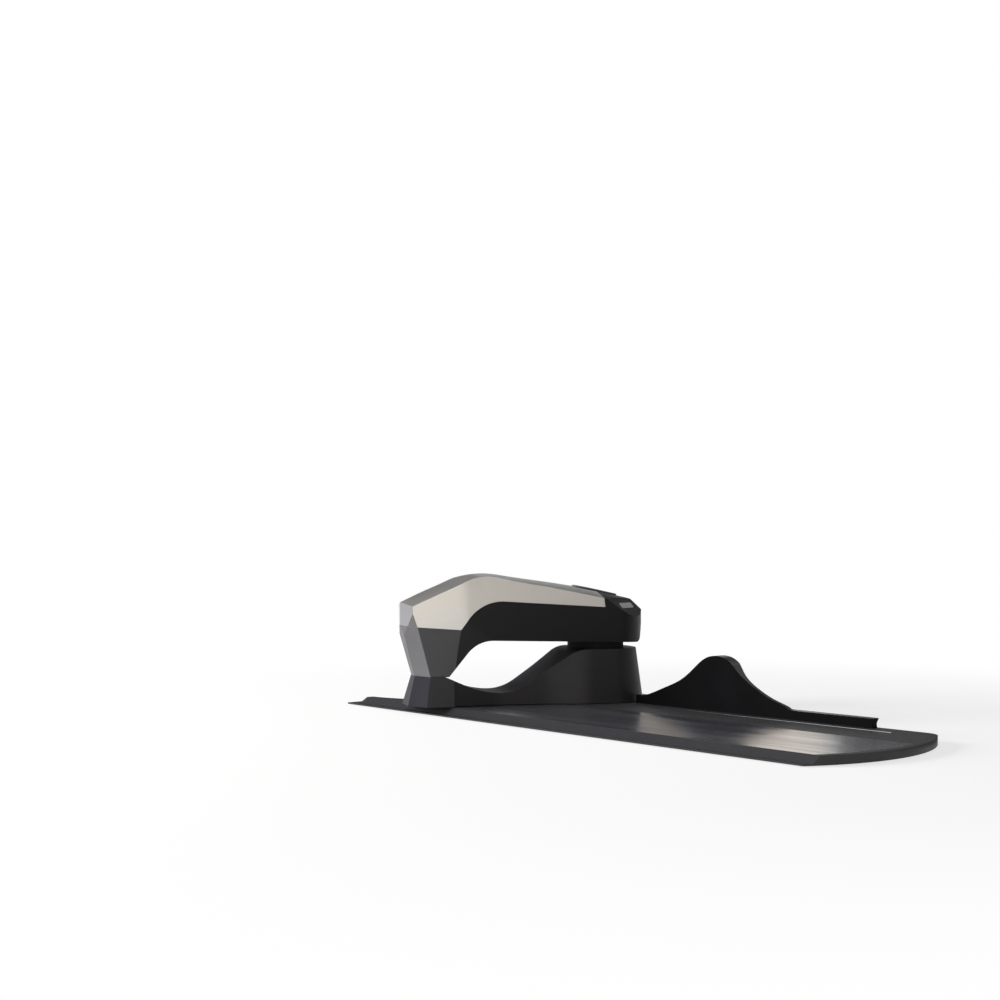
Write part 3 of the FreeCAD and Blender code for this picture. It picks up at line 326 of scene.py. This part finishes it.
materials = {
    # Metallic lacquer on moulded ABS: a plain silver whose soft sheen picks up the warm card in front
    "silverLacquer": grainedSurface("silverLacquerOnAbs", {
        "dark": "#D8D6D1", "light": "#DFDDD9", "Metallic": 0.9, "roughness": 0.33, "roughSpread": 0.03,
        "mottleMm": 9.0, "grainMm": 0.7, "bump": 0.05, "bumpMm": 0.02}),
    # Moulded ABS, light spark texture: the dull mid grey of the nose
    "noseAbs": grainedSurface("mouldedGreyAbs", {
        "dark": "#4C4B4D", "light": "#525153", "IOR": 1.53, "Specular IOR Level": 0.30, "roughness": 0.42,
        "roughSpread": 0.04, "mottleMm": 12.0, "grainMm": 0.8, "bump": 0.10, "bumpMm": 0.03}),
    # Moulded ABS, satin black: the handle, with a soft broad highlight
    "handleAbs": grainedSurface("mouldedSatinBlackAbs", {
        "dark": "#121214", "light": "#17171A", "IOR": 1.53, "Specular IOR Level": 0.24, "roughness": 0.38,
        "roughSpread": 0.04, "mottleMm": 12.0, "grainMm": 0.8, "bump": 0.10, "bumpMm": 0.03}),
    # Moulded ABS, satin grey: the button catches more light than the handle round it
    "buttonAbs": grainedSurface("mouldedSatinGreyAbs", {
        "dark": "#48484A", "light": "#505052", "IOR": 1.53, "Specular IOR Level": 0.5, "roughness": 0.33,
        "roughSpread": 0.03, "mottleMm": 8.0, "grainMm": 0.7, "bump": 0.08, "bumpMm": 0.02}),
    # Moulded ABS, charcoal: the dock, a little lighter and duller than the handle, and cooler
    "dockAbs": grainedSurface("mouldedCharcoalAbs", {
        "dark": "#1F1F23", "light": "#252529", "IOR": 1.53, "Specular IOR Level": 0.32, "roughness": 0.46,
        "roughSpread": 0.04, "mottleMm": 14.0, "grainMm": 0.9, "bump": 0.12, "bumpMm": 0.03}),
    # Moulded ABS with a fine matt spark texture: the plate's rims and lip
    "guideAbs": grainedSurface("mouldedMattAbs", {
        "dark": "#1D1D1F", "light": "#232325", "IOR": 1.53, "Specular IOR Level": 0.55, "roughness": 0.55,
        "roughSpread": 0.04, "mottleMm": 16.0, "grainMm": 0.9, "bump": 0.15, "bumpMm": 0.03}),
    # Rolled polycarbonate sheet: smooth, it mirrors the studio in long soft streaks
    "panelSheet": grainedSurface("rolledPolycarbonate", {
        "dark": "#37373B", "light": "#47474C", "IOR": 1.58, "Specular IOR Level": 0.58, "roughness": 0.19,
        "roughSpread": 0.06, "mottleMm": 9.0, "grainMm": 1.6, "bump": 0.10, "bumpMm": 0.02,
        "drawnDegrees": guideTurn, "drawnTimes": 14.0}),
    # Moulded ABS, matt black: the rail and its fin
    "finAbs": grainedSurface("mouldedMattBlackAbs", {
        "dark": "#0A0A0B", "light": "#0F0F10", "IOR": 1.53, "Specular IOR Level": 0.04, "roughness": 0.5,
        "roughSpread": 0.04, "mottleMm": 14.0, "grainMm": 0.9, "bump": 0.12, "bumpMm": 0.03}),
    # The same moulding along its top edge, a little glossier, and coloured paler as a painted highlight of
    # the light on the crest
    "finCrestPaintedSheen": grainedSurface("blackAbsPaintedSheen", {
        "dark": "#2E2E30", "light": "#39393B", "IOR": 1.53, "Specular IOR Level": 0.35, "roughness": 0.36,
        "roughSpread": 0.05, "mottleMm": 7.0, "grainMm": 0.7, "bump": 0.08, "bumpMm": 0.02}),
    # Pressed rubber: dull black with a slightly dusty bloom
    "blackRubber": grainedSurface("pressedRubber", {
        "dark": "#171717", "light": "#202020", "IOR": 1.52, "Specular IOR Level": 0.25, "roughness": 0.8,
        "roughSpread": 0.06, "mottleMm": 6.0, "grainMm": 0.8, "bump": 0.2, "bumpMm": 0.04}),
    # Zinc-plated steel: a cool grey metal with a fine frost
    "zincSteel": grainedSurface("zincPlatedSteel", {
        "dark": "#9C9DA0", "light": "#B0B1B4", "Metallic": 1.0, "roughness": 0.32, "roughSpread": 0.05,
        "mottleMm": 1.5, "grainMm": 0.5, "bump": 0.08, "bumpMm": 0.01}),
    # Glazed ceramic: bright neutral white under a hard gloss
    "glazedTile": grainedSurface("glazedCeramic", {
        "dark": "#ECECE8", "light": "#F2F2EF", "IOR": 1.5, "roughness": 0.12, "roughSpread": 0.02,
        "Coat Weight": 0.6, "Coat Roughness": 0.05, "mottleMm": 5.0, "grainMm": 2.0, "bump": 0.02,
        "bumpMm": 0.01}),
    # Fibreglass board under green solder mask: a waxy dark green
    "solderMask": grainedSurface("greenSolderMask", {
        "dark": "#0E3A20", "light": "#155030", "IOR": 1.52, "roughness": 0.35, "roughSpread": 0.05,
        "mottleMm": 2.5, "grainMm": 0.6, "bump": 0.15, "bumpMm": 0.02}),
    # Black anodised aluminium: dark, with a metal's sheen under the dye
    "anodised": grainedSurface("blackAnodisedAluminium", {
        "dark": "#1B1B1D", "light": "#242427", "Metallic": 0.7, "roughness": 0.38, "roughSpread": 0.04,
        "mottleMm": 3.0, "grainMm": 0.5, "bump": 0.06, "bumpMm": 0.01}),
    # Nickel-plated steel: warm bright metal of the socket
    "nickelSteel": grainedSurface("nickelPlatedSteel", {
        "dark": "#B9B3A6", "light": "#C9C3B7", "Metallic": 1.0, "roughness": 0.25, "roughSpread": 0.04,
        "mottleMm": 1.5, "grainMm": 0.4, "bump": 0.05, "bumpMm": 0.01}),
    # Gold over nickel on copper: the warm bright contacts of the socket
    "goldPlate": grainedSurface("goldPlatedCopper", {
        "dark": "#C9973F", "light": "#DDB057", "Metallic": 1.0, "roughness": 0.24, "roughSpread": 0.04,
        "mottleMm": 0.8, "grainMm": 0.3, "bump": 0.04, "bumpMm": 0.01}),
    # Tinned copper: dull silver legs and joints on the board
    "tinnedCopper": grainedSurface("tinnedCopper", {
        "dark": "#A9A9A6", "light": "#C2C2BF", "Metallic": 1.0, "roughness": 0.38, "roughSpread": 0.06,
        "mottleMm": 0.9, "grainMm": 0.3, "bump": 0.10, "bumpMm": 0.02}),
    # Drawn polycarbonate bead, half round: its round top catches a real highlight, and its pale grey is a
    # painted highlight, the thin light line along the rail
    "beadPaintedHighlight": grainedSurface("drawnBeadPaintedHighlight", {
        "dark": "#77777A", "light": "#B4B4B6", "IOR": 1.58, "Specular IOR Level": 0.7, "roughness": 0.22,
        "roughSpread": 0.08, "mottleMm": 5.0, "grainMm": 1.2, "bump": 0.12, "bumpMm": 0.04}),
    # Translucent polycarbonate light window: smoky, smooth, with a little depth
    "smokedWindow": grainedSurface("smokedPolycarbonate", {
        "dark": "#66676C", "light": "#727378", "IOR": 1.58, "roughness": 0.18, "roughSpread": 0.02,
        "Coat Weight": 0.5, "Coat Roughness": 0.08, "mottleMm": 4.0, "grainMm": 1.5, "bump": 0.02,
        "bumpMm": 0.01}),
    # Clear epoxy: pale milky domes of the measuring lamps
    "clearEpoxy": grainedSurface("castEpoxy", {
        "dark": "#CDD0C4", "light": "#DADCD2", "IOR": 1.55, "roughness": 0.12, "roughSpread": 0.02,
        "mottleMm": 1.5, "grainMm": 0.6, "bump": 0.02, "bumpMm": 0.01}),
}


glass = {"tint": "#F2F7F6", "ior": 1.52, "wavesMm": 2.0, "smoothest": 0.01, "roughest": 0.05}


def clearGlass(look):
    # Polished optical glass: nearly colourless, seen by its reflections and dark edge
    material, tree, surface, coordinates = startMaterial("polishedOpticalGlass")
    surface.inputs["Base Color"].default_value = linearColour(look["tint"])
    surface.inputs["Transmission Weight"].default_value = 1.0
    surface.inputs["IOR"].default_value = look["ior"]
    waves = addNode(tree, "ShaderNodeTexNoise", {"Scale": perMetre(look["wavesMm"])}, {"Vector": coordinates})
    gloss = addNode(tree, "ShaderNodeMapRange", {"To Min": look["smoothest"], "To Max": look["roughest"]},
                    {"Value": waves.outputs["Fac"]})
    tree.links.new(gloss.outputs["Result"], surface.inputs["Roughness"])
    return material


materials["opticalGlass"] = clearGlass(glass)
print("materials ready:", len(materials))


# Pieces: softened copies of the moulded shells, in place of their plain solids

# What all softened shells share
softening = {
    "weldMm": 0.003,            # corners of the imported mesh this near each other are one
    "flatDegrees": 0.3,         # triangles that lie this flat to each other become one face
    "sharpDegrees": 28.0,       # edges that turn more are broken, unless a shell has its own value
    "crestSlope": 0.3,          # a crest's faces point up by more than this
}


def softenedShell(look):
    # The moulding with its sharp edges broken by the small radius that a tool leaves
    sharp = math.radians(look.get("sharpDegrees", softening["sharpDegrees"]))
    shape = bmesh.new()
    shape.from_mesh(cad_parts[look["node"]].data)
    bmesh.ops.remove_doubles(shape, verts=shape.verts, dist=softening["weldMm"] * mm)
    bmesh.ops.dissolve_limit(shape, angle_limit=math.radians(softening["flatDegrees"]),
                             verts=shape.verts, edges=shape.edges)
    mesh = bpy.data.meshes.new(look["name"])
    shape.to_mesh(mesh)
    shape.free()
    if "custom_normal" in mesh.attributes:
        mesh.attributes.remove(mesh.attributes["custom_normal"])
    mesh.materials.clear()
    mesh.materials.append(materials[look["material"]])
    if "crest" in look:
        mesh.materials.append(materials[look["crest"]])
    # Faces that point up and lie high on the fin take the crest material, whose paler colour is a painted
    # highlight
    for polygon in mesh.polygons:
        pointsUp = polygon.normal.z > softening["crestSlope"]
        paintedSheen = "crest" in look and pointsUp and polygon.center.z > look["crestAboveMm"] * mm
        polygon.material_index = 1 if paintedSheen else 0
        polygon.use_smooth = True
    mesh.set_sharp_from_angle(angle=sharp)
    piece = bpy.data.objects.new(look["name"], mesh)
    bpy.context.scene.collection.objects.link(piece)
    bevel = piece.modifiers.new("brokenEdges", "BEVEL")
    bevel.width = look["edgeMm"] * mm
    bevel.segments = look["steps"]
    bevel.limit_method = "ANGLE"
    bevel.angle_limit = sharp
    bevel.harden_normals = True
    bevel.use_clamp_overlap = True
    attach(piece, look["body"])
    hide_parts(look["node"])


shells = [
    # Reader and its button; the facets of cover and nose meet at low angles
    {"name": "silverCover", "node": "top_cover", "body": "reader", "slot": "cover_silver",
     "material": "silverLacquer", "edgeMm": 0.35, "steps": 3, "sharpDegrees": 13.0},
    {"name": "taperedNose", "node": "nose_shell", "body": "reader", "slot": "nose_grey",
     "material": "noseAbs", "edgeMm": 0.35, "steps": 3, "sharpDegrees": 13.0},
    {"name": "archedHandle", "node": "handle_shell", "body": "reader", "slot": "handle_black",
     "material": "handleAbs", "edgeMm": 0.35, "steps": 3},
    {"name": "buttonCap", "node": "measure_button", "body": "button", "slot": "button_grey",
     "material": "buttonAbs", "edgeMm": 0.4, "steps": 3},
    # Dock
    {"name": "dockBody", "node": "dock_shell", "body": "dock", "slot": "dock_grey",
     "material": "dockAbs", "edgeMm": 0.5, "steps": 3, "sharpDegrees": 22.0},
    # Guide: the top of the fin above the rail takes a paler colour, a painted highlight
    {"name": "guideMoulding", "node": "guide_plate", "body": "guide", "slot": "guide_black",
     "material": "guideAbs", "edgeMm": 0.3, "steps": 2},
    {"name": "readingSheet", "node": "reading_panel", "body": "guide", "slot": "panel_black",
     "material": "panelSheet", "edgeMm": 0.25, "steps": 2},
    {"name": "handFin", "node": "rail_fin", "body": "guide", "slot": "rail_black",
     "material": "finAbs", "edgeMm": 0.5, "steps": 3, "crest": "finCrestPaintedSheen", "crestAboveMm": 6.5},
    # The dock's floor, a thin plate
    {"name": "dockFloor", "node": "dock_base_plate", "body": "dock", "slot": "dock_grey",
     "material": "dockAbs", "edgeMm": 0.2, "steps": 1},
]
for shell in shells:
    softenedShell(shell)
print("shells softened:", len(shells))


# Pieces: small parts that the solids leave out

smallPartSharpDegrees = 35.0


def nodeMiddle(node):
    low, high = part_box(node)
    return (low + high) / 2


def newPiece(name, shape, look):
    # One mesh piece from a bmesh, riding on its body
    bmesh.ops.recalc_face_normals(shape, faces=shape.faces)
    mesh = bpy.data.meshes.new(name)
    shape.to_mesh(mesh)
    shape.free()
    mesh.materials.append(materials[look["material"]])
    mesh.polygons.foreach_set("use_smooth", [True] * len(mesh.polygons))
    mesh.set_sharp_from_angle(angle=math.radians(smallPartSharpDegrees))
    piece = bpy.data.objects.new(name, mesh)
    bpy.context.scene.collection.objects.link(piece)
    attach(piece, look["body"])


def extrudedOutline(shape, outline, across, width):
    # Closed outline of points, made solid over the width along the vector across
    near = [shape.verts.new(Vector(point) - across * width / 2) for point in outline]
    far = [shape.verts.new(Vector(point) + across * width / 2) for point in outline]
    shape.faces.new(near)
    shape.faces.new(list(reversed(far)))
    count = len(outline)
    for i in range(count):
        after = (i + 1) % count
        shape.faces.new((near[i], far[i], far[after], near[after]))


# Half-round bead in the groove beside the rail; its places are along and across the guide from a corner
railBead = {
    # Its pale grey is a painted highlight along the rail
    "material": "beadPaintedHighlight", "body": "guide", "slot": "rail_black",
    "cornerMm": (-135.13, 170.33), "startMm": 112.0, "endMm": 356.0, "acrossMm": 110.1,
    "radiusMm": 0.55,
    "heightShare": 1.2,         # of the radius, from its flat to its top
    "belowTopMm": 0.45,         # how deep its flat lies under the plate's top
    "sinkMm": 0.42,             # its start lies this much deeper, so that it rises out of the groove
    "sides": 10,
}


def makeRailBead(look):
    turn = math.radians(guideTurn)
    along = Vector((math.cos(turn), -math.sin(turn), 0))
    across = Vector((math.sin(turn), math.cos(turn), 0))
    radius, length = look["radiusMm"] * mm, (look["endMm"] - look["startMm"]) * mm
    centre = Vector(look["cornerMm"] + (0,)) * mm
    centre += (along * (look["startMm"] + look["endMm"]) / 2 + across * look["acrossMm"]) * mm
    centre.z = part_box("guide_plate")[1].z - look["belowTopMm"] * mm
    outline = []
    for step in range(look["sides"] + 1):
        angle = math.pi * step / look["sides"]
        rise = Vector((0, 0, math.sin(angle) * radius * look["heightShare"]))
        outline.append(centre + across * math.cos(angle) * radius + rise)
    shape = bmesh.new()
    extrudedOutline(shape, outline, along, length)
    for vert in shape.verts:
        share = (vert.co - centre).dot(along) / length + 0.5
        vert.co.z -= (1 - share) * look["sinkMm"] * mm
    newPiece("railBead", shape, look)


# Clear domes that end the seven measuring lamps, in a ring round the sensor
lampDomes = {
    "material": "clearEpoxy", "body": "reader", "slot": "led_clear",
    "lamps": 7, "ringRadiusMm": 6.0, "domeRadiusMm": 1.2,
    "heightShare": 0.9,         # a dome is a little flatter than a ball
    "insideMm": 0.05,           # its middle lies this far inside the lamp's end
    "segments": 16, "rings": 10,
}


def makeLampDomes(look):
    shape = bmesh.new()
    centre = nodeMiddle("light_sensor")
    centre.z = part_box("measuring_leds")[0].z + look["insideMm"] * mm
    for lamp in range(look["lamps"]):
        angle = 2 * math.pi * lamp / look["lamps"]
        out = Vector((math.cos(angle), math.sin(angle), 0)) * look["ringRadiusMm"] * mm
        dome = bmesh.ops.create_uvsphere(shape, u_segments=look["segments"], v_segments=look["rings"],
                                         radius=look["domeRadiusMm"] * mm)
        for vert in dome["verts"]:
            vert.co.z *= look["heightShare"]
            vert.co += centre + out
    newPiece("lampDomes", shape, look)


# Gull-wing legs of the two flat chips on the main board, on all four sides of each
chipLegs = {
    "material": "tinnedCopper", "body": "reader", "slot": "inner_black",
    "chips": [                  # places along the reader's middle, half sizes and legs on a side
        {"placeMm": -32.0, "halfMm": 5.0, "legs": 10},
        {"placeMm": -5.5, "halfMm": 3.5, "legs": 7},
    ],
    "freeCornerMm": 0.6,        # stretch from the chip's corner to its first leg
    "shoulderMm": 0.55, "reachMm": 1.1, "thickMm": 0.14, "legWidthMm": 0.38,
    "rootMm": 0.1,              # part of the leg inside the chip
    "kneeShare": 0.35, "footShare": 0.55,   # of the reach, where the leg turns down and where it lies flat
    "insideShare": 0.10,        # by which the inner side of each bend is nearer to the chip
    "solderMm": 0.02,           # height of the foot over the board
}


def makeChipLegs(look):
    shape = bmesh.new()
    middle, board = nodeMiddle("main_board"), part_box("main_board")[1].z
    reach, thick, root = look["reachMm"], look["thickMm"], -look["rootMm"]
    high, knee, foot, inside = look["shoulderMm"], look["kneeShare"], look["footShare"], look["insideShare"]
    steps = [(root, high), (reach * knee, high), (reach * foot, thick), (reach, thick), (reach, 0),
             (reach * (foot - inside), 0), (reach * (knee - inside), high - thick), (root, high - thick)]
    for chip in look["chips"]:
        half, legs = chip["halfMm"], chip["legs"]
        pitch = 2 * (half - look["freeCornerMm"]) / (legs - 1)
        centre = Vector((chip["placeMm"] * mm, middle.y, board + look["solderMm"] * mm))
        for side in range(4):
            turn = side * math.pi / 2
            out = Vector((math.cos(turn), math.sin(turn), 0))
            along = Vector((-out.y, out.x, 0))
            for leg in range(legs):
                start = out * half + along * (leg - (legs - 1) / 2) * pitch
                outline = [centre + (start + out * far + Vector((0, 0, z))) * mm for far, z in steps]
                extrudedOutline(shape, outline, along, look["legWidthMm"] * mm)
    newPiece("chipLegs", shape, look)


# Gold strips on both faces of the tongue in the socket
socketContacts = {
    "material": "goldPlate", "body": "reader", "slot": "cover_silver",
    "strips": 6, "pitchMm": 0.62, "widthMm": 0.3,
    "fromMouthMm": 1.3, "lengthMm": 3.5,
    "tipMm": 0.15,              # a strip's end slopes over this length
    "halfTongueMm": 0.3, "proudMm": 0.04, "sunkMm": 0.02,
}


def makeSocketContacts(look):
    shape = bmesh.new()
    middle = nodeMiddle("usb_socket")
    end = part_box("usb_socket")[1].x - look["fromMouthMm"] * mm
    start = end - look["lengthMm"] * mm
    for face in (-1, 1):
        inner = middle.z + face * (look["halfTongueMm"] - look["sunkMm"]) * mm
        outer = middle.z + face * (look["halfTongueMm"] + look["proudMm"]) * mm
        steps = [(start, inner), (start, outer), (end - look["tipMm"] * mm, outer), (end, inner)]
        for strip in range(look["strips"]):
            y = middle.y + (strip - (look["strips"] - 1) / 2) * look["pitchMm"] * mm
            outline = [(x, y, z) for x, z in steps]
            extrudedOutline(shape, outline, Vector((0, 1, 0)), look["widthMm"] * mm)
    newPiece("socketContacts", shape, look)


makeRailBead(railBead)
makeLampDomes(lampDomes)
makeChipLegs(chipLegs)
makeSocketContacts(socketContacts)
print("small parts ready")


# Finishes of the CAD nodes whose shape is right as it is

nodeFinishes = {
    "guideAbs": ["guide_base_sheet"],
    "finAbs": ["tile_holder", "nose_tip_ring", "light_sensor", "board_chips", "button_switch"],
    "blackRubber": ["grip_strips", "dock_feet", "tile_pad", "seat_pad", "rear_foot"],
    "zincSteel": ["rail_screws", "dock_screws", "housing_screws"],
    "glazedTile": ["calibration_tile"],
    "opticalGlass": ["aperture_window", "focusing_lens"],
    "anodised": ["optics_barrel"],
    "solderMask": ["led_board", "main_board"],
    "clearEpoxy": ["measuring_leds"],
    "nickelSteel": ["usb_socket"],
    "smokedWindow": ["status_lens"],
}
for finish, nodes in nodeFinishes.items():
    for node in nodes:
        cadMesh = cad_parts[node].data
        cadMesh.materials.clear()
        cadMesh.materials.append(materials[finish])
print("node finishes:", sum(len(nodes) for nodes in nodeFinishes.values()))
